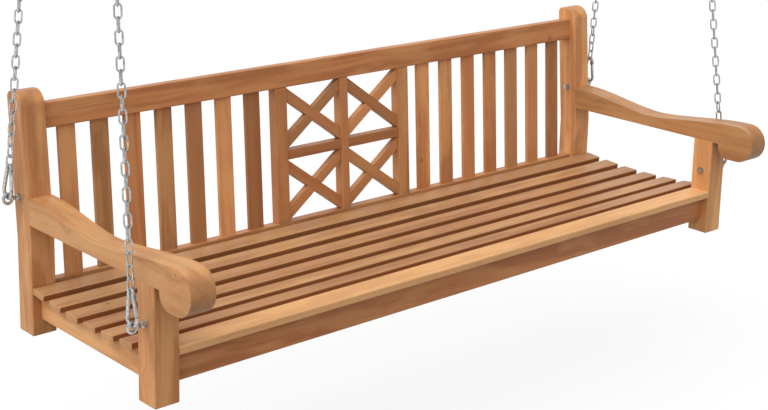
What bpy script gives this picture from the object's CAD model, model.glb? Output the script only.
import random
import re
from math import acos, asin, atan, atan2, ceil, cos, degrees, exp, hypot, pi, radians, sin, sqrt, tan

import bmesh
import bpy
from mathutils import Matrix, Vector


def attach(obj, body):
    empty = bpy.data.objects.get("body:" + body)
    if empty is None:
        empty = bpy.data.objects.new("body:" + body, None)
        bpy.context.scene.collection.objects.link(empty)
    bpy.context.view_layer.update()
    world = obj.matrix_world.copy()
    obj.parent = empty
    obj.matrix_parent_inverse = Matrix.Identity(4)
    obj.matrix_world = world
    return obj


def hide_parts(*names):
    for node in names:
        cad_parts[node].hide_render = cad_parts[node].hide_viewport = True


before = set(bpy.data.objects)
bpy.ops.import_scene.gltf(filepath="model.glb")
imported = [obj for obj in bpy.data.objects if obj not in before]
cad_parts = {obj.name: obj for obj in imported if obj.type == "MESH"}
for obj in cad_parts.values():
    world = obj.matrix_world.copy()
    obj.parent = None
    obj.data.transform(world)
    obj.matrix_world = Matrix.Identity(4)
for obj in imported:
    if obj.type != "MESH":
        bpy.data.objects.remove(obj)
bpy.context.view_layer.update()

# Sizes are in millimetres, from the front left leg's foot, and go into the frame's metres in toFrame
bench = {"width": 1800, "post": 58, "seatDepth": 466, "railThick": 28, "backRecess": 16,
         "hangY": 301.5, "beamZ": 2421.195454}
post, seatDepth, deep = bench["post"], bench["seatDepth"], bench["railThick"]
outX = bench["width"] / 2
legX = outX - post


def toFrame(p):
    return Vector((p[0], p[1] - bench["hangY"], p[2] - bench["beamZ"])) / 1000


move, spin = Matrix.Translation, Matrix.Rotation
plain = Matrix.Identity(4)
endOn = Matrix(((0, 0, 1, 0), (1, 0, 0, 0), (0, 1, 0, 0), (0, 0, 0, 1)))   # from (y, z), thick along x
hands = ("left", "right")
figure = {"seedStep": 7919, "seedStart": 13, "heartNear": 70, "heartFar": 260, "along": 9000,
          "turn": 6.283, "sharp": 0.6, "roundSteps": 7, "creased": 1.0, "endFrom": 0.55, "endOver": 0.3,
          "flatSide": 0.8}


def startPiece():
    return {"points": [], "faces": [], "grain": [], "board": [], "worn": [], "end": [], "slot": []}


def prism(low, high):
    # A closed mesh between two outlines with as many points each
    bm = bmesh.new()
    low, high = ([bm.verts.new(p) for p in outline] for outline in (low, high))
    bm.faces.new(list(reversed(low)))
    bm.faces.new(high)
    for i in range(len(low)):
        j = (i + 1) % len(low)
        bm.faces.new((low[i], low[j], high[j], high[i]))
    bm.normal_update()
    return bm


def bevelled(bm, arrises, size, steps):
    return bmesh.ops.bevel(bm, geom=arrises, offset=size, offset_type="OFFSET", segments=steps,
                           profile=0.5, affect="EDGES", clamp_overlap=True)


def timber(piece, outline, depth, lay, along=(0, 0, 1), seed=1, ease=2.2, skip=None, mirrored=False,
           steps=3, tone=None, hue=None, roundest=None, slots=False, slope=0.05, centre=None):
    # One board: an outline with thickness, its arrises eased, its grain laid along one direction.
    # roundest is a test and a size for the arrises that are rounded further, slots marks sides that
    # stay dark, slope is how far the grain may run off the board, hue is redness and goldness, and
    # boards with one seed and centre share their figure
    bm = prism(*([(u, v, w) for u, v in outline] for w in depth))
    rounded = set()

    def easeArrises(test, size, count):
        arrises = []
        for e in bm.edges:
            mid = (e.verts[0].co + e.verts[1].co) / 2
            known = any(f in rounded for f in e.link_faces)
            left = known or (skip and skip(mid)) or not test(mid)
            if e.calc_face_angle(0) > figure["sharp"] and not left:
                arrises.append(e)
        if arrises:
            rounded.update(bevelled(bm, arrises, size, count)["faces"])
            bm.normal_update()

    if roundest:
        easeArrises(*roundest, figure["roundSteps"])
    easeArrises(lambda m: True, ease, steps)
    bm.verts.index_update()
    worn = {v.index for v in bm.verts if v.link_faces and all(f in rounded for f in v.link_faces)}
    bm.normal_update()
    draw = random.Random(seed * figure["seedStep"] + figure["seedStart"]).uniform
    a = Vector(along).normalized()
    t = Vector((0, 0, 1)) if abs(a.z) < 0.9 else Vector((1, 0, 0))
    t = (t - a * t.dot(a)).normalized()
    c = t.cross(a)
    straight = a
    a = (a + c * draw(-slope, slope) + t * draw(-slope, slope)).normalized()
    t = (t - a * t.dot(a)).normalized()
    c = t.cross(a)
    turn, far = draw(0, figure["turn"]), draw(figure["heartNear"], figure["heartFar"])
    shift = Vector((draw(-figure["along"], figure["along"]), far * cos(turn), far * sin(turn)))
    middle = Vector(centre) if centre else sum((v.co for v in bm.verts), Vector()) / len(bm.verts)
    kind = (draw(0, 1) if tone is None else tone,) + (hue or (draw(0, 1), draw(0, 1)))
    first = len(piece["points"])
    for v in bm.verts:
        p = lay @ v.co
        if mirrored:
            p.x = -p.x
        piece["points"].append(toFrame(p))
        q = v.co - middle
        piece["grain"].append((Vector((q.dot(a), q.dot(c), q.dot(t))) + shift) / 1000)
        piece["board"].append(kind)
        piece["worn"].append(1.0 if v.index in worn else 0.0)
    for f in bm.faces:
        order = [v.index + first for v in f.verts]
        if mirrored:
            order.reverse()
        piece["faces"].append(order)
        facing = abs(f.normal.dot(straight))
        piece["end"].append(min(1.0, max(0.0, (facing - figure["endFrom"]) / figure["endOver"])))
        dark = slots and f not in rounded and abs(f.normal.y) > figure["flatSide"]
        piece["slot"].append(1.0 if dark else 0.0)
    bm.free()


def slab(piece, low, high, lay=plain, along="x", **how):
    way = {"x": (1, 0, 0), "z": (0, 0, 1)}[along]
    corners = [(low[0], low[1]), (high[0], low[1]), (high[0], high[1]), (low[0], high[1])]
    timber(piece, corners, (low[2], high[2]), lay, along=way, **how)


def underscored(name):
    # The piece leftSideRail stands for the node left_side_rail
    return re.sub("([A-Z]|[0-9]+)", r"_\1", name).lower()


def addObject(name, data):
    made = bpy.data.objects.new(name, data)
    bpy.context.scene.collection.objects.link(made)
    return made


def finishPiece(piece, name, material, body="bench", slotName=None, node=None):
    mesh = bpy.data.meshes.new(name)
    mesh.from_pydata([tuple(p) for p in piece["points"]], [], piece["faces"])
    if piece["grain"]:
        for label in ("grain", "board"):
            mesh.attributes.new(label, "FLOAT_VECTOR", "POINT").data.foreach_set(
                "vector", [x for v in piece[label] for x in v])
        mesh.attributes.new("worn", "FLOAT", "POINT").data.foreach_set("value", piece["worn"])
        for label in ("end", "slot"):
            mesh.attributes.new(label, "FLOAT", "CORNER").data.foreach_set(
                "value", [e for e, f in zip(piece[label], piece["faces"]) for _ in f])
    mesh.validate()
    mesh.shade_smooth()
    bm = bmesh.new()
    bm.from_mesh(mesh)
    for e in bm.edges:
        e.smooth = e.calc_face_angle(0) < figure["creased"]
    bm.to_mesh(mesh)
    bm.free()
    obj = addObject(name, mesh)
    if piece["grain"]:
        weigh = obj.modifiers.new("flatFaces", "WEIGHTED_NORMAL")
        weigh.mode = "FACE_AREA"
        weigh.weight = 100
        weigh.keep_sharp = True
    mesh.materials.append(material)
    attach(obj, body)
    slotName or underscored(material.name)
    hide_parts(node or underscored(name))


def board(name, material, low, high, **how):
    # A piece that is one straight board
    p = startPiece()
    slab(p, low, high, **how)
    finishPiece(p, name, material)


def addShape(piece, points, faces, lay=plain, mirrored=False):
    first = len(piece["points"])
    for p in points:
        p = lay @ Vector(p)
        if mirrored:
            p.x = -p.x
        piece["points"].append(toFrame(p))
    for f in faces:
        order = [i + first for i in f]
        piece["faces"].append(list(reversed(order)) if mirrored else order)


def wire(path, across, radii, sides=14, closed=False):
    # A bent wire along a flat path. across is square to the path's plane, and a radius may be a pair,
    # the one across and the one in the plane.
    path = [Vector(p) for p in path]
    across = Vector(across).normalized()
    n = len(path)
    points, faces = [], []
    for k, p in enumerate(path):
        before = path[k - 1] if k or closed else p
        after = path[(k + 1) % n] if k < n - 1 or closed else p
        t = (after - before).normalized()
        side = t.cross(across).normalized()
        r = radii[k] if isinstance(radii, (list, tuple)) else radii
        ra, rs = r if isinstance(r, tuple) else (r, r)
        for j in range(sides):
            w = 2 * pi * j / sides
            points.append(p + across * (ra * sin(w)) + side * (rs * cos(w)))
    for k in range(n if closed else n - 1):
        a, b = k * sides, ((k + 1) % n) * sides
        for j in range(sides):
            i = (j + 1) % sides
            faces.append((a + j, a + i, b + i, b + j))
    if not closed:
        faces.append(tuple(reversed(range(sides))))
        faces.append(tuple(range((n - 1) * sides, n * sides)))
    return points, faces


def domed(path, r, steps=4):
    # Adds a round end to the start of a wire's path
    path = [Vector(p) for p in path]
    radii = [r] * len(path)
    out = (path[0] - path[1]).normalized()
    for k in range(1, steps + 1):
        w = pi / 2 * k / steps
        path.insert(0, path[0] + out * (r * (sin(w) - sin(pi / 2 * (k - 1) / steps))))
        radii.insert(0, max(0.02, r * cos(w)))
    return path, radii


def circle(x, r, sides):
    turns = (2 * pi * j / sides for j in range(sides))
    return [(x, r * cos(w), r * sin(w)) for w in turns]


def skin(rows, sides, closed=False, ends=True):
    # Faces between rows of points that go round x. Closed joins the last row to the first.
    faces = []
    for k in range(rows if closed else rows - 1):
        a, b = k * sides, ((k + 1) % rows) * sides
        for j in range(sides):
            i = (j + 1) % sides
            faces.append((a + j, b + j, b + i, a + i))
    if ends and not closed:
        faces.append(tuple(range(sides)))
        faces.append(tuple(reversed(range((rows - 1) * sides, rows * sides))))
    return faces


def turned(profile, sides=32, closed=False):
    # A shape of revolution about x, from (x, radius) pairs
    return [p for x, r in profile for p in circle(x, r, sides)], skin(len(profile), sides, closed)


def threaded(x0, x1, r, pitch, depth, sides=20, rows=5, point=0.0):
    # A screw thread about x that runs from x0 to x1, with a point of this length at x1
    n = max(2, int((x1 - x0) / pitch * rows))
    points = []
    for k in range(n + 1):
        x = x0 + (x1 - x0) * k / n
        left = x1 - x
        thin = min(1.0, 0.12 + 0.88 * left / point) if point else 1.0
        fade = min(1.0, (x - x0) / pitch, max(0.0, left / pitch) + (0.3 if point else 0))
        for j in range(sides):
            w = 2 * pi * j / sides
            turn = (x / pitch - j / sides) % 1.0
            crest = 1 - abs(2 * turn - 1)
            rr = r * thin - depth * fade * thin * (1 - min(1.0, crest * 1.6))
            points.append((x, rr * cos(w), rr * sin(w)))
    return points, skin(n + 1, sides)


def arc(centre, r, start, stop, steps):
    turn = [radians(start + (stop - start) * k / steps) for k in range(steps + 1)]
    return [(centre[0] + r * cos(w), centre[1] + r * sin(w)) for w in turn]


def clip(outline, a, b, c):
    # Keeps the part of an outline where a x + b y <= c
    kept = []
    for k, p in enumerate(outline):
        q = outline[(k + 1) % len(outline)]
        dp, dq = a * p[0] + b * p[1] - c, a * q[0] + b * q[1] - c
        if dp <= 0:
            kept.append(p)
        if (dp < 0 < dq) or (dq < 0 < dp):
            s = dp / (dp - dq)
            kept.append((p[0] + (q[0] - p[0]) * s, p[1] + (q[1] - p[1]) * s))
    return kept


def add(tree, kind, inputs=None, **settings):
    made = tree.nodes.new("ShaderNode" + kind)
    for key, value in settings.items():
        setattr(made, key, value)
    for key, value in (inputs or {}).items():
        if isinstance(value, bpy.types.NodeSocket):
            tree.links.new(value, made.inputs[key])
        else:
            made.inputs[key].default_value = value
    return made


def noise(tree, source, by, detail=2.0, rough=0.5, which=0):
    return add(tree, "TexNoise", {"Vector": combined(tree, "MULTIPLY", source, by), "Scale": 1.0,
                                  "Detail": detail, "Roughness": rough}).outputs[which]


def sums(tree, kind, a, b, clamp=False):
    return add(tree, "Math", {0: a, 1: b}, operation=kind, use_clamp=clamp).outputs[0]


def plus(tree, a, b):
    return sums(tree, "ADD", a, b)


def times(tree, a, b):
    return sums(tree, "MULTIPLY", a, b)


def ramp(tree, source, low, high, to=(0.0, 1.0), kind="SMOOTHSTEP"):
    return add(tree, "MapRange",
               {"Value": source, "From Min": low, "From Max": high, "To Min": to[0], "To Max": to[1]},
               interpolation_type=kind).outputs[0]


def mixed(tree, amount, a, b):
    return add(tree, "Mix", {0: amount, 6: a, 7: b}, data_type="RGBA").outputs[2]


def chosen(tree, which, a, b):
    return add(tree, "MixShader", {0: which, 1: a, 2: b}).outputs[0]


def combined(tree, kind, a, b):
    return add(tree, "VectorMath", {0: a, 1: b}, operation=kind).outputs[0]


def startMaterial(name):
    # The new material, its nodes and its shader's inputs
    mat = bpy.data.materials.new(name)
    mat.use_nodes = True
    return mat, mat.node_tree, mat.node_tree.nodes["Principled BSDF"].inputs


def bumped(tree, height, strength, distance):
    return add(tree, "Bump", {"Strength": strength, "Distance": distance, "Height": height}).outputs[0]


def teak(name, look):
    mat, tree, inputs = startMaterial(name)

    def marked(label, output):
        return add(tree, "Attribute", attribute_name=label).outputs[output]

    grain = marked("grain", "Vector")
    kind = add(tree, "SeparateXYZ", {0: marked("board", "Vector")}).outputs
    worn, end, slot = (marked(label, "Fac") for label in ("worn", "end", "slot"))

    # The grain wanders as it runs along the board
    def wander(by, width):
        swing = combined(tree, "SUBTRACT", noise(tree, grain, by, 1.0, which=1), (0.5, 0.5, 0.5))
        return combined(tree, "MULTIPLY", swing, (0, width, width))

    bent = combined(tree, "ADD", grain, wander((2.3, 7, 7), look["drift"]))
    bent = combined(tree, "ADD", bent, wander((15, 40, 40), 0.0035))

    # Growth rings round the heart of the tree, which lies off to one side, pushed aside by small knots
    knot = add(tree, "TexVoronoi", {"Vector": grain, "Scale": 6.5, "Randomness": 1.0}).outputs["Distance"]
    xyz = add(tree, "SeparateXYZ", {0: bent}).outputs
    flat = add(tree, "CombineXYZ", {1: xyz[1], 2: xyz[2]}).outputs[0]
    radius = add(tree, "VectorMath", {0: flat}, operation="LENGTH").outputs["Value"]
    radius = plus(tree, radius, times(tree, xyz[0], 0.012))
    radius = plus(tree, radius, ramp(tree, knot, 0.0, 0.2, (0.012, 0.0)))
    rings = add(tree, "TexNoise",
                {"W": times(tree, radius, look["rings"]), "Scale": 1.0, "Detail": 3.0, "Roughness": 0.55},
                noise_dimensions="1D").outputs[0]
    zone = noise(tree, bent, (1.6, 32, 32), 2.0, 0.45)      # stripes a few centimetres wide
    streak = noise(tree, bent, (3.2, 85, 85), 3.0, 0.55)    # narrower dark streaks
    cloud = noise(tree, grain, (6, 20, 20), 2.0, 0.5)       # slow blotches
    fibre = noise(tree, bent, (20, 560, 560), 3.0, 0.6)
    pores = ramp(tree, noise(tree, bent, (90, 1600, 1600), 1.0, 0.5), 0.63, 0.76)

    def over(colour, amount, share, shade):
        # Lays one of the look's shades over the colour where amount says so
        return mixed(tree, times(tree, amount, share), colour, look[shade])

    colour = mixed(tree, ramp(tree, rings, 0.38, 0.66), look["light"], look["deep"])
    colour = over(colour, ramp(tree, zone, 0.41, 0.59), look["stripe"], "brown")
    colour = over(colour, ramp(tree, cloud, 0.46, 0.62), look["blotch"], "gold")
    colour = over(colour, ramp(tree, streak, 0.54, 0.74), look["streak"], "dark")
    colour = mixed(tree, ramp(tree, rings, 0.66, 0.8, (0.0, look["line"])), colour, look["dark"])
    colour = mixed(tree, ramp(tree, fibre, 0.3, 0.7, (0.0, 0.3)), colour, look["light"])
    colour = over(colour, pores, 0.5, "pore")
    colour = over(colour, kind[1], look["redness"], "red")
    colour = over(colour, kind[2], look["goldness"], "gold")
    tone = ramp(tree, kind[0], 0.0, 1.0, (1 - look["spread"], 1 + look["spread"] * 0.6), "LINEAR")
    colour = add(tree, "VectorMath", {0: colour, "Scale": tone}, operation="SCALE").outputs[0]
    colour = over(colour, end, 0.5, "endGrain")
    colour = mixed(tree, ramp(tree, knot, 0.015, 0.04, (0.6, 0.0)), colour, look["pore"])
    colour = over(colour, slot, 0.85, "slot")
    colour = over(colour, worn, look["wear"], "worn")
    tree.links.new(colour, inputs["Base Color"])

    rough = ramp(tree, fibre, 0.3, 0.75, (look["rough"] - 0.07, look["rough"] + 0.08))
    rough = plus(tree, rough, ramp(tree, streak, 0.5, 0.75, (0.0, 0.06)))
    rough = plus(tree, rough, times(tree, pores, 0.2))
    rough = plus(tree, rough, times(tree, slot, 0.5))
    rough = sums(tree, "SUBTRACT", rough, times(tree, worn, 0.08), clamp=True)
    tree.links.new(rough, inputs["Roughness"])
    height = plus(tree, times(tree, fibre, 0.5), times(tree, rings, 0.3))
    height = sums(tree, "SUBTRACT", height, times(tree, pores, 0.8))
    tree.links.new(bumped(tree, height, 0.35, 0.0004), inputs["Normal"])
    inputs["Specular IOR Level"].default_value = look["shine"]
    return mat


frameLook = {"light": (0.72, 0.335, 0.127, 1), "deep": (0.56, 0.230, 0.079, 1),
             "dark": (0.27, 0.092, 0.030, 1), "brown": (0.35, 0.125, 0.042, 1),
             "gold": (0.77, 0.405, 0.165, 1), "red": (0.52, 0.165, 0.054, 1),
             "pore": (0.17, 0.06, 0.022, 1), "worn": (0.72, 0.40, 0.19, 1),
             "endGrain": (0.44, 0.20, 0.085, 1), "slot": (0.27, 0.075, 0.016, 1),
             "drift": 0.02, "rings": 70.0, "stripe": 0.9, "blotch": 0.65, "streak": 0.7, "line": 0.4,
             "redness": 0.45, "goldness": 0.4, "spread": 0.26, "wear": 0.14, "rough": 0.45, "shine": 0.28}
teakFrame = teak("teakFrame", frameLook)
armLook = dict(frameLook, light=(0.74, 0.355, 0.138, 1), deep=(0.58, 0.26, 0.094, 1),
               dark=(0.36, 0.14, 0.048, 1), brown=(0.46, 0.19, 0.067, 1), gold=(0.77, 0.42, 0.180, 1),
               streak=0.35, redness=0.3, spread=0.32)
teakArm = teak("teakArm", armLook)
seatLook = dict(frameLook, light=(0.68, 0.36, 0.170, 1), deep=(0.53, 0.245, 0.103, 1),
                brown=(0.37, 0.155, 0.062, 1), red=(0.44, 0.180, 0.078, 1), gold=(0.72, 0.40, 0.168, 1),
                endGrain=(0.58, 0.29, 0.105, 1), spread=0.3, redness=0.55, goldness=0.5, streak=0.4,
                line=0.25, stripe=0.8, wear=0.1)
teakSeat = teak("teakSeat", seatLook)
backLook = dict(frameLook, light=(0.73, 0.355, 0.143, 1), deep=(0.56, 0.24, 0.088, 1),
                brown=(0.36, 0.135, 0.047, 1), spread=0.36, redness=0.75, goldness=0.45)
teakBack = teak("teakBack", backLook)


def steel(name, look):
    mat, tree, inputs = startMaterial(name)
    where = add(tree, "TexCoord").outputs["Object"]
    cells = add(tree, "TexVoronoi", {"Vector": where, "Scale": 230.0, "Randomness": 1.0}).outputs
    flake = add(tree, "SeparateColor", {0: cells["Color"]}).outputs
    cloud = noise(tree, where, (70, 70, 70), 3.0, 0.6)
    dull = noise(tree, where, (380, 380, 380), 3.0, 0.6)
    colour = mixed(tree, ramp(tree, cloud, 0.38, 0.62), look["cool"], look["warm"])
    colour = mixed(tree, ramp(tree, flake[0], 0.5, 1.0, (0.0, 0.45)), colour, look["bright"])
    colour = mixed(tree, ramp(tree, flake[1], 0.7, 1.0, (0.0, 0.35)), colour, look["tinge"])
    colour = mixed(tree, ramp(tree, dull, 0.55, 0.75, (0, 0.6)), colour, look["grime"])
    tree.links.new(colour, inputs["Base Color"])
    rough = ramp(tree, dull, 0.3, 0.75, (look["rough"] - 0.08, look["rough"] + 0.14))
    rough = sums(tree, "ADD", rough, times(tree, flake[2], 0.08), clamp=True)
    tree.links.new(rough, inputs["Roughness"])
    tree.links.new(bumped(tree, dull, 0.3, 0.0002), inputs["Normal"])
    inputs["Metallic"].default_value = 1.0
    inputs["Specular Tint"].default_value = look["rim"]
    return mat


steelLook = {"cool": (0.46, 0.48, 0.50, 1), "warm": (0.56, 0.56, 0.53, 1), "bright": (0.90, 0.91, 0.92, 1),
             "tinge": (0.50, 0.50, 0.36, 1), "grime": (0.12, 0.12, 0.12, 1), "rim": (0.35, 0.35, 0.37, 1),
             "rough": 0.22}
galvanised = steel("galvanisedSteel", steelLook)
print("materials ready")

legs = {"height": 250, "ease": 2.6, "tones": (0.72, 1.0), "hues": ((0.5, 0.3), (0.0, 1.0))}
for k, side in enumerate(hands):
    board(side + "FrontLeg", teakFrame, (-outX, 0, 0), (-legX, post, legs["height"]), along="z",
          seed=11 + k, ease=legs["ease"], skip=lambda m: m.z > legs["height"] - 1, mirrored=k == 1,
          tone=legs["tones"][k], hue=legs["hues"][k])

posts = {"height": 534, "bend": 210, "recline": radians(5), "frontRound": 34, "backRound": 16,
         "ease": 2.8, "tones": (0.65, 0.95)}


def leant(p):
    a = posts["recline"]
    return (seatDepth + p[0] * cos(a) + p[1] * sin(a), posts["bend"] - p[0] * sin(a) + p[1] * cos(a))


def postFront(z):
    return seatDepth + max(0, z - posts["bend"]) * tan(posts["recline"])


rise = (posts["height"] - posts["bend"]) / cos(posts["recline"])
wide = post * cos(posts["recline"])
crown = (arc((posts["frontRound"], rise - posts["frontRound"]), posts["frontRound"], 180, 90, 12)
         + arc((wide - posts["backRound"], rise - posts["backRound"]), posts["backRound"], 90, 0, 8))
postOutline = ([(seatDepth, posts["bend"]), (seatDepth, 0),
                (seatDepth + post, 0), (seatDepth + post, posts["bend"])]
               + [leant(q) for q in reversed(crown)])
for k, side in enumerate(hands):
    p = startPiece()
    timber(p, postOutline, (-outX, -legX), endOn, along=(0.04, 1, 0), seed=21 + k, ease=posts["ease"],
           mirrored=k == 1, tone=posts["tones"][k])
    finishPiece(p, side + "RearPost", teakFrame)

# The scroll is rounded on the arm and on the block glued under it
arms = {"bottom": 250, "rearThick": 57, "midThick": 29, "scrollRound": 46, "reach": 75, "up": 10,
        "heelRound": 32, "heel": 0.66, "seam": 34, "fall": 0.5, "rise": 0.44, "steps": 56,
        "ease": 3.0, "topRound": 7.5, "tones": (0.42, 0.12)}
armZ, reach, scrollR, heelR = arms["bottom"], arms["reach"], arms["scrollRound"], arms["heelRound"]
armLow, scrollZ, topZ = (armZ + arms[label] for label in ("midThick", "up", "rearThick"))
frontFall, rearRise, rearFlat = (seatDepth * s for s in (arms["fall"], arms["rise"], 1.0))
heelY = -reach * arms["heel"]
seamY = heelY + heelR
seamZ = armZ + arms["seam"]


def smooth(t):
    c = min(1, max(0, t))
    return c * c * (3 - 2 * c)


def armTop(y):
    scroll = (scrollZ + scrollR - armLow) * smooth((frontFall - y) / (frontFall + reach))
    rear = (arms["rearThick"] - arms["midThick"]) * smooth((y - rearRise) / (rearFlat - rearRise))
    return armLow + scroll + rear


topYs = (rearFlat - i * (rearFlat + reach) / arms["steps"] for i in range(1, arms["steps"]))
armOutline = ([(postFront(armZ), armZ), (postFront(topZ), topZ), (rearFlat, topZ)]
              + [(y, armTop(y)) for y in topYs]
              + arc((-reach, scrollZ), scrollR, 90, 270, 40)
              + arc((heelY, scrollZ - scrollR + heelR), heelR, 270, 360, 12)
              + [(seamY, armZ), (post, armZ)])
blockPart = clip(clip(armOutline, 0, 1, seamZ), 1, 0, seamY)   # under the glue line


def joinedArm():
    # The arm is what lies over the glue line, with the part behind the block hanging below it
    outline = [q for q in armOutline if q[1] >= seamZ - 1e-6 or q[0] > seamY + 1e-6]
    inScroll = [q[1] >= seamZ and q[0] < -reach for q in outline]
    seamTip = -reach - sqrt(scrollR ** 2 - (seamZ - scrollZ) ** 2)
    cut = []
    for k, q in enumerate(outline):
        cut.append(q)
        if inScroll[k] and not inScroll[(k + 1) % len(outline)]:
            cut += [(seamTip, seamZ), (seamY, seamZ), (seamY, armZ)]
    return cut


def onTop(m):
    # The arm's upper arrises, and the scroll's rim
    return m.y > armTop(m.x) - 1 if m.x > -reach else True


def inJoint(m):
    # Arrises that meet the block, the leg or the post stay sharp
    return (m.y <= seamZ + 0.5 and m.x < post - 0.5) or abs(m.x - postFront(m.y)) < 0.6


for k, side in enumerate(hands):
    # Both are of one board, so they share its figure
    shared = {"along": (1, 0.02, 0), "seed": 31 + k, "ease": arms["ease"], "mirrored": k == 1}
    tone, size = arms["tones"][k], arms["topRound"]
    p = startPiece()
    timber(p, joinedArm()[::-1], (-outX, -legX), endOn, centre=(0, scrollZ, -outX), tone=tone,
           hue=(0.2, 0.4), roundest=(onTop, size), skip=inJoint, **shared)
    finishPiece(p, side + "Arm", teakArm)
    p = startPiece()
    timber(p, blockPart[::-1], (-outX, -legX), endOn, centre=(0, scrollZ + 1.5, -outX + 2),
           tone=tone - 0.05, hue=(0.4, 0.4), roundest=(lambda m: True, size),
           skip=lambda m: m.y > seamZ - 0.5 or m.x > seamY - 0.5, **shared)
    finishPiece(p, side + "ScrollBlock", teakArm)

# The slats lie on a shallow arc, and each rail is cut to a flat under each slat
seat = {"height": 114, "boardThick": 17, "slatWide": 44, "slatThick": 14, "dip": 14, "railUnder": 35,
        "apronRecess": 20, "sideInset": 22, "bearerX": 300, "bearerLap": 10, "slats": 6, "postClear": 3.4,
        "railGap": 0.1}
dipFront, dipBack = post, seatDepth + bench["backRecess"]
dipY, dipHalf = (dipFront + dipBack) / 2, (dipBack - dipFront) / 2
slatGap = (seatDepth - seat["postClear"] - dipFront) / seat["slats"] - seat["slatWide"]
railHalf = deep / 2
sideX = outX - seat["sideInset"] - railHalf
boardZ = seat["height"] - seat["boardThick"]


def slatY(i):
    return seatDepth - seat["postClear"] - (i - 1) * (slatGap + seat["slatWide"]) - seat["slatWide"] / 2


def seatZ(y):
    return seat["height"] - seat["dip"] * (1 - ((y - dipY) / dipHalf) ** 2)


def seatSlope(y):
    return atan(2 * seat["dip"] * (y - dipY) / dipHalf ** 2)


def slatBed(i):
    y = slatY(i)
    return move((0, y, seatZ(y))) @ spin(seatSlope(y), 4, "X")


def slatFoot(i, s):
    y, a = slatY(i), seatSlope(slatY(i))
    v, w = s * seat["slatWide"] / 2, -seat["slatThick"] - seat["railGap"]
    return (y + v * cos(a) - w * sin(a), seatZ(y) + v * sin(a) + w * cos(a))


def seatRail(front, back):
    feet = [slatFoot(i, s) for i in range(seat["slats"], 0, -1) for s in (-1, 1)]
    under = seat["railUnder"]
    return ([(back, under), (front, under), (front, feet[0][1])] + feet + [(back, feet[-1][1])])[::-1]


bearerFront, bearerBack = post - seat["bearerLap"], dipBack - 1.5
for k, side in enumerate(hands):
    shared = {"along": (1, 0, 0), "ease": 1.8, "mirrored": k == 1}
    p = startPiece()
    timber(p, seatRail(post, seatDepth), (-sideX - railHalf, -sideX + railHalf), endOn,
           seed=51 + k, tone=0.95, hue=(0.0, 0.9),
           skip=lambda m: not post + 0.5 <= m.x <= seatDepth - 0.5, **shared)
    finishPiece(p, side + "SideRail", teakFrame)
    p = startPiece()
    timber(p, seatRail(bearerFront, bearerBack),
           (-seat["bearerX"] - railHalf, -seat["bearerX"] + railHalf), endOn, seed=61 + k, tone=0.3,
           skip=lambda m: not bearerFront + 0.5 <= m.x <= bearerBack - 0.5, **shared)
    finishPiece(p, side + "SeatBearer", teakFrame)


def atEnds(m):
    # The ends of rails that run between the legs or posts
    return abs(m.x) > legX - 1


board("frontApron", teakFrame, (-legX, seat["apronRecess"], seat["railUnder"]),
      (legX, seat["apronRecess"] + deep, boardZ), seed=71, tone=0.5, hue=(1.0, 0.0),
      skip=lambda m: atEnds(m) or m.z > boardZ - 1)
board("frontBoard", teakSeat, (-legX, 0, boardZ), (legX, post, seat["height"]), seed=72, ease=3.0,
      tone=1.0, hue=(0.1, 1.0), slope=0.02, skip=atEnds)

# Tone, redness and goldness of each slat, from the back
slatKinds = ((0.4, 0.5, 0.5), (0.5, 0.3, 0.5), (0.45, 0.6, 0.2), (0.5, 0.8, 0.1), (0.5, 0.3, 0.6),
             (0.45, 0.8, 0.1))
for i, kind in enumerate(slatKinds, 1):
    board("seatSlat%d" % i, teakSeat, (-outX, -seat["slatWide"] / 2, -seat["slatThick"]),
          (outX, seat["slatWide"] / 2, 0), lay=slatBed(i), seed=80 + i, ease=1.6, tone=kind[0],
          hue=kind[1:], slots=True, slope=0.02)
print("legs, arms and seat ready")

# The back is drawn flat and then leant
back = {"top": 500, "topRail": 56, "low": 112, "bottomRail": 58, "slats": 7, "slatWide": 43,
        "slatThick": 10, "panel": 362, "stile": 35, "bar": 24, "diagonal": 26, "diagonalThick": 16}


def recessed(z):
    return postFront(z) + bench["backRecess"]


lean = atan((recessed(back["top"]) - recessed(back["low"])) / (back["top"] - back["low"]))
backL = (back["top"] - back["low"]) / cos(lean)
clearL = backL - back["topRail"]
stileX, halfBar = back["panel"] / 2, back["bar"] / 2
pitch = (legX - stileX - back["stile"] + back["slatWide"]) / (back["slats"] + 1)
cellW = (back["panel"] - back["bar"]) / 2
cellH = (clearL - back["bar"]) / 2
diagonalA = acos(back["diagonal"] / hypot(cellW, cellH)) - atan(cellW / cellH)
leanBack = move((0, recessed(back["low"]), back["low"])) @ spin(-lean, 4, "X")

board("topRail", teakFrame, (-legX, 0, clearL), (legX, deep, backL), lay=leanBack, seed=101, ease=3.0,
      tone=0.5, skip=atEnds)
board("bottomRail", teakFrame, (-legX, 0, -back["bottomRail"]), (legX, deep, 0), lay=leanBack, seed=102,
      tone=0.35, hue=(0.7, 0.2), skip=atEnds)


def atRails(m):
    # The ends of bars that run between the bottom rail and the top rail
    return m.z < 1 or m.z > clearL - 1


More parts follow.
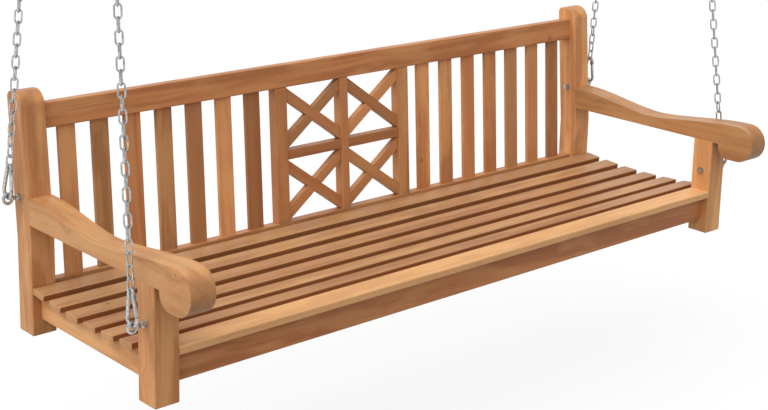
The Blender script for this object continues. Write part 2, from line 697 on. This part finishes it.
slatFront = (deep - back["slatThick"]) / 2
for k, side in enumerate(hands):
    shared = {"lay": leanBack, "mirrored": k == 1}
    p = startPiece()
    for i in range(back["slats"]):
        x = -legX + pitch - back["slatWide"] + i * pitch
        slab(p, (x, slatFront, -2), (x + back["slatWide"], slatFront + back["slatThick"], clearL + 2),
             along="z", seed=110 + 10 * k + i, ease=1.8,
             skip=lambda m: not -1 <= m.z <= clearL + 1, **shared)
    finishPiece(p, side + "BackSlats", teakBack)
    board(side + "Stile", teakBack, (-stileX - back["stile"], 0, 0), (-stileX, deep, clearL), along="z",
          seed=131 + k, ease=2.0, tone=0.4, skip=atRails, **shared)
    board(side + "MidBar", teakBack, (-stileX, 0, cellH), (-halfBar, deep, cellH + back["bar"]),
          seed=133 + k, ease=1.6, tone=0.1, hue=(0.9, 0.1),
          skip=lambda m: m.x < -stileX + 1 or m.x > -halfBar - 1, **shared)

board("centreMuntin", teakBack, (-halfBar, 0, 0), (halfBar, deep, clearL), lay=leanBack, along="z",
      seed=141, ease=1.8, tone=0.5, hue=(0.8, 0.6), skip=atRails)

upright = leanBack @ spin(pi / 2, 4, "X")   # an outline in (x, z), thick towards the front


def between(outline, a, b, low, high):
    # The part of an outline where a x + b y runs from low to high
    return clip(clip(outline, a, b, high), -a, -b, -low)


def latticeCross(side, upper, seed, kinds):
    # Two bars of one cell, halved into each other where they cross. Seen from the front, the one that
    # falls to the right lies in front.
    p = startPiece()
    low = cellH + back["bar"] if upper else 0
    cx, cz = -stileX + cellW / 2, low + cellH / 2
    ends = (cx - cellW / 2, cx + cellW / 2)
    cell = [(ends[0], low), (ends[1], low), (ends[1], low + cellH), (ends[0], low + cellH)]
    y0 = (deep - back["diagonalThick"]) / 2
    y1, mid = y0 + back["diagonalThick"], deep / 2
    h = back["diagonal"] / 2
    for rising, kind in zip((True, False), kinds):
        a = diagonalA if rising else -diagonalA
        along = (cos(a), sin(a))
        nx, nz = -along[1], along[0]
        own = nx * cx + nz * cz
        bar = between(cell, nx, nz, own - h, own + h)
        ox, oz = sin(a), cos(a)          # square to the other bar
        other = ox * cx + oz * cz
        whole, half = (-y1, -y0), (-mid, -y0) if rising == (side == "right") else (-y1, -mid)
        parts = ((clip(bar, ox, oz, other - h), whole), (clip(bar, -ox, -oz, -(other + h)), whole),
                 (between(bar, ox, oz, other - h, other + h), half))

        def joint(m, nx=nx, nz=nz, own=own):
            # Only the long arrises are eased
            return abs(nx * m.x + nz * m.y - own) < h - 0.3

        for part, depth in parts:
            timber(p, part, depth, upright, along=(*along, 0), seed=seed + (0 if rising else 1),
                   ease=1.3, skip=joint, steps=2, mirrored=side == "right", tone=kind[0], hue=kind[1:],
                   centre=(cx, cz, -mid))
    level = "upper" if upper else "lower"
    finishPiece(p, side + level.capitalize() + "Cross", teakBack, node=level + "_" + side + "_cross")


# Tone, redness and goldness of the two bars of each cell: left upper and lower, right upper and lower
crossKinds = (((0.05, 0.6, 0.75), (0.35, 0.95, 0.5)), ((0.45, 0.8, 0.45), (0.38, 0.87, 0.36)),
              ((0.12, 0.8, 0.2), (0.70, 0.95, 0.81)), ((0.34, 0.6, 0.6), (0.45, 0.6, 0.6)))
for i, kinds in enumerate(crossKinds):
    latticeCross(hands[i // 2], i % 2 == 0, 151 + 2 * i, kinds)
print("back ready")

bolts = {"frontZ": 168, "rearZ": 306, "d": 8, "eye": 10.5, "wire": 7, "reach": 30, "nut": 13,
         "nutThick": 6.5, "washer": 15.5, "washerThick": 1.6, "pitch": 1.25, "threadDeep": 0.65,
         "neckEnd": 18, "frontThread": (17.6, 33), "rearThread": 83, "past": 3, "sides": 24,
         "turns": (11, 34, 28, 51)}   # of the nuts: left front and rear, right front and rear
eyeX = -outX - bolts["reach"]
frontPull = Vector((eyeX, post / 2, bolts["frontZ"] + bolts["eye"]))
rearPull = Vector((eyeX, postFront(bolts["rearZ"]) + post / 2, bolts["rearZ"] + bolts["eye"]))
boltEnd = bolts["reach"] + post + bolts["washerThick"] + bolts["nutThick"] + bolts["past"]


def ringPath(r, count):
    return [(r * cos(w), r * sin(w)) for w in (2 * pi * k / count for k in range(count))]


def eyeBolt(p, how):
    r, eye, sides = bolts["d"] / 2, bolts["eye"], bolts["sides"]

    def thread(x0, x1):
        return threaded(x0, x1, r, bolts["pitch"], bolts["threadDeep"], sides)

    front, rear = bolts["frontThread"], bolts["rearThread"]
    neck = [(eye, 0.5), (eye, 5.0), (eye + 3.2, 4.9), (eye + 4.6, r), (bolts["neckEnd"], r)]
    shank = [(front[1] - 0.5, r - 0.1), (rear + 1, r - 0.1)]
    tip = [(boltEnd - 1.2, r - 0.35), (boltEnd - 0.7, r - 0.45), (boltEnd, r - 1.1)]
    loop = [(x, 0, z) for x, z in ringPath(eye, 48)]
    for shape in (wire(loop, (0, 1, 0), bolts["wire"] / 2, 16, closed=True), turned(neck, sides),
                  thread(*front), turned(shank, sides), thread(rear, boltEnd - 0.7), turned(tip, sides)):
        addShape(p, *shape, **how)


def nutShape(x0):
    # A hexagon with its corners turned off at both faces
    w, t, bore, sides = bolts["nut"] / 2, bolts["nutThick"], bolts["d"] / 2, 48
    points = []
    outer = (0.0, 0.2, 0.4, 0.65, t - 0.65, t - 0.4, t - 0.2, t)
    for x in outer:
        limit = w * 0.985 + min(x, t - x) * 1.73
        for j in range(sides):
            a = 2 * pi * j / sides
            r = min(w / cos((a + pi / 6) % (pi / 3) - pi / 6), limit)
            points.append((x0 + x, r * cos(a), r * sin(a)))
    inner = ((bore + 0.55, t), (bore - 0.1, t - 0.5), (bore - 0.1, 0.5), (bore + 0.55, 0.0))
    for r, x in inner:
        points += circle(x0 + x, r, sides)
    return points, skin(len(outer) + len(inner), sides, closed=True)


def washerShape(x0):
    r, t, b = bolts["washer"] / 2, bolts["washerThick"], bolts["d"] / 2 + 0.1
    profile = [(0, b), (0, r - 0.35), (0.12, r - 0.1), (0.4, r), (t - 0.3, r), (t - 0.08, r - 0.12),
               (t, r - 0.4), (t, b)]
    return turned([(x0 + x, rr) for x, rr in profile], 40, closed=True)


washers, nuts = startPiece(), startPiece()
inner, outer = bolts["reach"] + post, bolts["reach"] - bolts["washerThick"]
for k, side in enumerate(hands):
    for j, (pull, place) in enumerate(((frontPull, "Front"), (rearPull, "Rear"))):
        at = move(pull - Vector((0, 0, bolts["eye"])))
        how = {"lay": at, "mirrored": k == 1}
        p = startPiece()
        eyeBolt(p, how)
        finishPiece(p, side + place + "EyeBolt", galvanised)
        for x in (outer, inner):
            addShape(washers, *washerShape(x), **how)
        how["lay"] = at @ spin(radians(bolts["turns"][2 * k + j]), 4, "X")
        for x in (outer - bolts["nutThick"], inner + bolts["washerThick"]):
            addShape(nuts, *nutShape(x), **how)
finishPiece(washers, "boltWashers", galvanised)
finishPiece(nuts, "boltNuts", galvanised)

screws = {"legZ": 74, "postZ": 86, "length": 95, "r": 3.2, "shank": 2.0, "slot": 0.42, "slotReach": 1.75,
          "slotDeep": 1.1, "dome": 0.12}


def screwShape():
    # A countersunk head with a cross recess, and a plain shank behind it
    rings, sides = [0.0, 0.35, 0.7, 1.0, 1.3, 1.7, 2.2, 2.7, 3.05, screws["r"]], 32
    points = []
    for r in rings:
        for _, y, z in circle(0, r, sides):
            inside = min(abs(y), abs(z)) < screws["slot"] and max(abs(y), abs(z)) < screws["slotReach"]
            dome = screws["dome"] * (r / screws["r"]) ** 2
            points.append((dome + (screws["slotDeep"] if inside else 0.0), y, z))
    thin, end = screws["shank"], screws["length"]
    behind = ((0.45, screws["r"]), (2.4, thin), (12, thin), (end - 6, thin), (end, 0.3))
    for x, r in behind:
        points += circle(x, r, sides)
    return points, skin(len(rings) + len(behind), sides, ends=False)


p = startPiece()
postScrewY = recessed(back["low"]) + deep / 2 - (back["low"] - screws["postZ"]) * tan(lean)
for k in range(2):
    for y, z in ((seat["apronRecess"] + deep / 2, screws["legZ"]), (postScrewY, screws["postZ"])):
        addShape(p, *screwShape(), lay=move((-outX, y, z)), mirrored=k == 1)
oldZinc = steel("oldZinc", dict(steelLook, cool=(0.16, 0.15, 0.13, 1), warm=(0.2, 0.16, 0.12, 1),
                                bright=(0.3, 0.29, 0.27, 1), tinge=(0.2, 0.17, 0.1, 1),
                                grime=(0.06, 0.05, 0.04, 1), rough=0.5))
finishPiece(p, "railScrews", oldZinc, slotName="galvanised_steel")
print("bolts ready")

# Everything in a chain's line is drawn straight up from the top of its eye
snap = {"length": 80, "wide": 40, "wire": 8, "neck": 23, "pinDrop": 5.5, "gap": 0.3}
chains = {"wire": 4, "link": 25, "inner": 10, "twist": 45, "twisted": 5}
ring = {"r": 30, "wire": 8, "touch": radians(15), "z": 2344, "x": 840, "steps": 72, "weldAt": 8,
        "weld": 0.05, "weldWide": 1.3}
bowR, neckR = (snap["wide"] - snap["wire"]) / 2, (snap["neck"] - snap["wire"]) / 2
bowZ = bowR - (bolts["wire"] + snap["wire"]) / 2 - snap["gap"]
neckZ = bowZ + snap["length"] - snap["wire"] - bowR - neckR
hookA = asin((bowR - neckR) / (neckZ - bowZ))
hookLeg = (neckZ - bowZ) * cos(hookA)
tangThick, tangWide = snap["wire"] * 0.4, snap["wire"] * 0.8
gateL = hookLeg - snap["pinDrop"] - 0.3
firstZ = neckZ + neckR - (snap["wire"] + chains["wire"]) / 2 - snap["gap"]
linkMid = chains["link"] + chains["wire"]
touchR = ring["r"] - (ring["wire"] + chains["wire"]) / 2 - snap["gap"]
ringAt = Vector((-ring["x"], bench["hangY"], ring["z"]))
touchY, touchZ = touchR * sin(ring["touch"]), touchR * cos(ring["touch"])
frontEnd, rearEnd = ringAt - Vector((0, touchY, touchZ)), ringAt + Vector((0, touchY, -touchZ))


def pulled(low, high):
    d = (high - low).normalized()
    return move(low) @ spin(atan2(d.x, d.z), 4, "Y") @ spin(-asin(d.y), 4, "X")


frontLeg = (move((0, -neckR * cos(hookA), neckZ + neckR * sin(hookA)))
            @ spin(-hookA, 4, "X") @ move((0, 0, -snap["pinDrop"])))


def hookWire():
    # From the tip of the bow, round under the eye, up the back and over the neck to the tongue
    a = degrees(hookA)
    r, thick, wide = snap["wire"] / 2, tangThick / 2, tangWide / 2
    path = [(0, y, z) for y, z in arc((0, bowZ), bowR, 180 - a, 360 + a, 30)]
    path += [(0, y, z) for y, z in arc((0, neckZ), neckR, a, 180 - a, 18)]
    radii = [r] * len(path)
    down = Vector((0, -sin(hookA), -cos(hookA)))
    base = Vector(path[-1])
    tongue = ((0.6, r * 0.94, r), (1.4, thick + 1.2, r * 0.98), (2.2, thick + 0.2, wide + 0.5),
              (3.2, thick, wide), (6.4, thick, wide), (7.7, thick, wide * 0.82),
              (8.4, thick * 0.9, wide * 0.55), (8.7, thick * 0.6, wide * 0.2))
    for s, across, inPlane in tongue:
        path.append(tuple(base + down * s))
        radii.append((across, inPlane))
    return path, radii


def gateShape(p, **how):
    # A round rod whose forked head straddles the tongue
    r = snap["wire"] / 2
    cheek = tangThick / 2 + snap["gap"]
    ends = ((-5.6, 0.98), (-7.2, 1), (-9, 1), (-gateL + 2.6, 1), (-gateL + 1.2, 0.93),
            (-gateL + 0.4, 0.75), (-gateL, 0.5))
    rod = wire([(0, 0, z) for z, _ in ends], (1, 0, 0), [r * share for _, share in ends], 20)
    addShape(p, *rod, **how)
    outline = arc((0, 0), r * 1.15, 0, 180, 18)
    outline += [(-r, -5.0), (-r, -7.0), (-r * 0.6, -8.4), (r * 0.6, -8.4), (r, -7.0), (r, -5.0)]
    for fork in ((-r * 0.9, -cheek), (cheek, r * 0.9)):
        bm = prism(*([(x, u, v) for u, v in outline] for x in fork))
        bevelled(bm, [e for e in bm.edges if e.calc_face_angle(0) > figure["creased"]], 0.45, 2)
        bm.verts.index_update()
        addShape(p, [v.co.copy() for v in bm.verts], [[v.index for v in f.verts] for f in bm.faces], **how)
        bm.free()


def linkShape():
    bend = (chains["inner"] + chains["wire"]) / 2
    straight = linkMid - 2 * bend
    loop = [(x, 0, z + bend + straight) for x, z in arc((0, 0), bend, 0, 180, 10)]
    loop += [(-bend, 0, bend + straight * s) for s in (0.68, 0.58, 0.5, 0.42, 0.32)]
    loop += [(x, 0, z + bend) for x, z in arc((0, 0), bend, 180, 360, 10)]
    radii = [chains["wire"] / 2] * len(loop)
    for k, swell in ((11, 1.02), (12, 1.1), (13, 1.14), (14, 1.1), (15, 1.02)):
        radii[k] *= swell                        # the weld on one side of each link
    return wire(loop, (0, 1, 0), radii, 10, closed=True)


def chainOf(low, high):
    run = (high - low).length - firstZ - linkMid
    count = 2 * ceil(run / (chains["link"] - snap["gap"]) / 2) + 1
    return count, run / (count - 1)


link = linkShape()
rivet = [(-4.45, 0.2), (-4.4, 1.2), (-4.1, 1.9), (-3.75, 2.1), (-3.7, 1.5), (3.7, 1.5), (3.75, 2.1),
         (4.1, 1.9), (4.4, 1.2), (4.45, 0.2)]
pins = startPiece()
for k, side in enumerate(hands):
    right = k == 1
    for place, low, high in (("Front", frontPull, frontEnd), ("Rear", rearPull, rearEnd)):
        lay, corner = pulled(low, high), side + place
        p = startPiece()
        path, radii = hookWire()
        addShape(p, *wire(path, (1, 0, 0), radii, 18), lay=lay, mirrored=right)
        finishPiece(p, corner + "SnapHook", galvanised)
        p = startPiece()
        gateShape(p, lay=lay @ frontLeg, mirrored=right)
        finishPiece(p, corner + "Gate", galvanised, body=underscored(corner + "Gate"))
        addShape(pins, *turned(rivet, 20), lay=lay @ frontLeg, mirrored=right)
        p = startPiece()
        count, step = chainOf(low, high)
        for i in range(count):
            taken = chains["twist"] * min(1, i / chains["twisted"], (count - 1 - i) / chains["twisted"])
            turn = spin(radians(i % 2 * 90 + taken), 4, "Z")
            up = move((0, 0, firstZ + i * step))
            addShape(p, *link, lay=lay @ up @ turn, mirrored=right)
        finishPiece(p, corner + "Chain", galvanised)
    p = startPiece()
    loop = [(0, y, z) for y, z in ringPath(ring["r"], ring["steps"])]
    weld = [ring["wire"] / 2 * (1 + ring["weld"] * exp(-((j - ring["weldAt"]) / ring["weldWide"]) ** 2))
            for j in range(ring["steps"])]
    addShape(p, *wire(loop, (1, 0, 0), weld, 16, closed=True), lay=move(ringAt), mirrored=right)
    finishPiece(p, side + "TopRing", galvanised)
finishPiece(pins, "gatePins", galvanised)

ceiling = {"wire": 10, "bowl": 18, "bend": 12, "neck": 8, "collar": 24, "collarThick": 3, "lag": 70,
           "shank": 12, "pitch": 4.2, "threadDeep": 1.5, "point": 12}
pivotZ = ring["z"] + ring["r"] - (ring["wire"] + ceiling["wire"]) / 2 - snap["gap"]
bowl, bend = ceiling["bowl"], ceiling["bend"]
shoulderA = degrees(acos(bend / (bowl + bend)))
shoulderZ = (bowl + bend) * sin(radians(shoulderA))


def ceilingHook(p, mirrored):
    at = move((-ring["x"], bench["hangY"], pivotZ + bowl))
    r = ceiling["wire"] / 2
    path = [(x, 0, z) for x, z in arc((0, 0), bowl, -180, shoulderA, 44)]
    path += [(x, 0, z) for x, z in arc((bend, shoulderZ), bend, 180 + shoulderA, 180, 12)[1:]]
    path += [(0, 0, shoulderZ + ceiling["neck"] * s) for s in (0.5, 1.0, 1.5)]
    path, radii = domed(path, r)
    addShape(p, *wire(path, (0, 1, 0), radii, 18), lay=at, mirrored=mirrored)
    z0 = shoulderZ + ceiling["neck"]
    z1 = z0 + ceiling["collarThick"]
    rim = ceiling["collar"] / 2
    flange = [(z0, r), (z0, rim - 0.8), (z0 + 0.35, rim - 0.2), (z0 + 0.9, rim), (z1 - 0.6, rim),
              (z1, rim - 0.7), (z1, r)]
    shank = [(z1 - 0.2, r * 0.98), (z1 + ceiling["shank"] + 0.5, r * 0.98)]
    lag = threaded(z1 + ceiling["shank"], z1 + ceiling["lag"], r, ceiling["pitch"], ceiling["threadDeep"],
                   28, 9, ceiling["point"])
    for shape in (turned(flange, 40), turned(shank, 28), lag):
        addShape(p, *shape, lay=at @ spin(-pi / 2, 4, "Y"), mirrored=mirrored)


for k, side in enumerate(hands):
    p = startPiece()
    ceilingHook(p, k == 1)
    finishPiece(p, side + "CeilingHook", galvanised, body="ceiling_hooks")
print("chains and hooks ready")


# The dowels are hidden in the slats and rails, and keep their own shape
def pinWood():
    mat, tree, inputs = startMaterial("dowelTeak")
    streak = noise(tree, add(tree, "TexCoord").outputs["Object"], (700, 700, 25), 3.0, 0.6)
    colour = mixed(tree, ramp(tree, streak, 0.35, 0.7), (0.6, 0.32, 0.16, 1), (0.42, 0.18, 0.08, 1))
    tree.links.new(colour, inputs["Base Color"])
    tree.links.new(ramp(tree, streak, 0.3, 0.7, (0.5, 0.65)), inputs["Roughness"])
    return mat


dowelTeak = pinWood()
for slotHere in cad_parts["seat_dowels"].material_slots:
    slotHere.link = "OBJECT"
    slotHere.material = dowelTeak

# The floor stays white to the eye and keeps a faint shadow
room = {"below": 0.34, "reach": 30.0, "glow": 0.82, "light": (0.20, 0.195, 0.19, 1),
        "dark": (0.17, 0.165, 0.16, 1)}
plainWhite = (1, 1, 1, 1)
floorZ, far = -bench["beamZ"] / 1000 - room["below"], room["reach"]
mesh = bpy.data.meshes.new("floor")
mesh.from_pydata([(-far, -far, floorZ), (far, -far, floorZ), (far, far, floorZ), (-far, far, floorZ)],
                 [], [(0, 1, 2, 3)])
addObject("floor", mesh)

paleFloor, tree = startMaterial("paleFloor")[:2]
tree.nodes.remove(tree.nodes["Principled BSDF"])
speck = noise(tree, add(tree, "TexCoord").outputs["Object"], (3, 3, 3), 2.0)
rays = add(tree, "LightPath").outputs
seen = sums(tree, "MAXIMUM", sums(tree, "MAXIMUM", rays["Is Camera Ray"], rays["Is Glossy Ray"]),
            rays["Is Transmission Ray"])
carpet = mixed(tree, speck, room["dark"], room["light"])
matt = add(tree, "BsdfDiffuse", {"Color": mixed(tree, seen, carpet, plainWhite)}).outputs[0]
glow = add(tree, "Emission", {"Color": plainWhite, "Strength": 1.0}).outputs[0]
both = chosen(tree, times(tree, seen, room["glow"]), matt, glow)
tree.links.new(both, tree.nodes["Material Output"].inputs["Surface"])
mesh.materials.append(paleFloor)

# The light falls from a wide soft lamp up on the left, and the room is a little darker behind the bench
studio = {"around": 0.30, "lamp": 1.65, "from": (-0.60, 0.05, 0.80), "sharp": 2.0,
          "fill": 0.5, "fillFrom": (-0.25, -0.95, 0.0), "behind": (0.62, 0.72, 0.30),
          "shineFront": 0.6, "shineBack": 1.1, "key": 0.5, "keyFrom": (-0.60, -0.05, 0.80), "keyAngle": 60}
world = bpy.data.worlds.new("studio")
bpy.context.scene.world = world
world.use_nodes = True
tree = world.node_tree
tree.nodes.remove(tree.nodes["Background"])
way = add(tree, "TexCoord").outputs["Generated"]


def towards(direction):
    return add(tree, "VectorMath", {0: way, 1: Vector(direction).normalized()},
               operation="DOT_PRODUCT").outputs["Value"]


def softLamp(direction, strength):
    spread = sums(tree, "POWER", sums(tree, "MAXIMUM", towards(direction), 0.0), studio["sharp"])
    return times(tree, spread, strength)


def background(strength):
    return add(tree, "Background", {"Color": plainWhite, "Strength": strength}).outputs[0]


level = plus(tree, softLamp(studio["from"], studio["lamp"]), studio["around"])
level = plus(tree, softLamp(studio["fillFrom"], studio["fill"]), level)
shine = ramp(tree, towards(studio["behind"]), 0.0, 0.9, (studio["shineFront"], studio["shineBack"]))
rays = add(tree, "LightPath").outputs
direct = sums(tree, "MAXIMUM", rays["Is Camera Ray"], rays["Is Transmission Ray"])
lit = chosen(tree, rays["Is Glossy Ray"], background(level), background(shine))
light = chosen(tree, direct, lit, background(1.0))
tree.links.new(light, tree.nodes["World Output"].inputs["Surface"])

sun = bpy.data.lights.new("key", "SUN")
sun.energy = studio["key"]
sun.angle = radians(studio["keyAngle"])
addObject("key", sun).rotation_euler = Vector(studio["keyFrom"]).to_track_quat("Z", "Y").to_euler()

view = {"lens": 71.68, "shift": (0.04563, -0.15727), "at": (-2.41643, -2.59200, -1.14541),
        "right": (0.7567215, -0.6534812, 0.0183007), "down": (-0.1328230, -0.1810966, -0.9744548),
        "forward": (0.6401021, 0.7349601, -0.2238370)}
cameraData = bpy.data.cameras.new("photoCamera")
cameraData.sensor_width = 36
cameraData.lens = view["lens"]
cameraData.shift_x, cameraData.shift_y = view["shift"]
cameraData.clip_end = 200
camera = addObject("photoCamera", cameraData)
columns = (Vector(view["right"]), -Vector(view["down"]), -Vector(view["forward"]))
turn = Matrix([[c[i] for c in columns] for i in range(3)]).to_4x4()
camera.matrix_world = move(view["at"]) @ turn
bpy.context.scene.camera = camera
bpy.context.scene.view_settings.view_transform = "Standard"

print("scene ready")
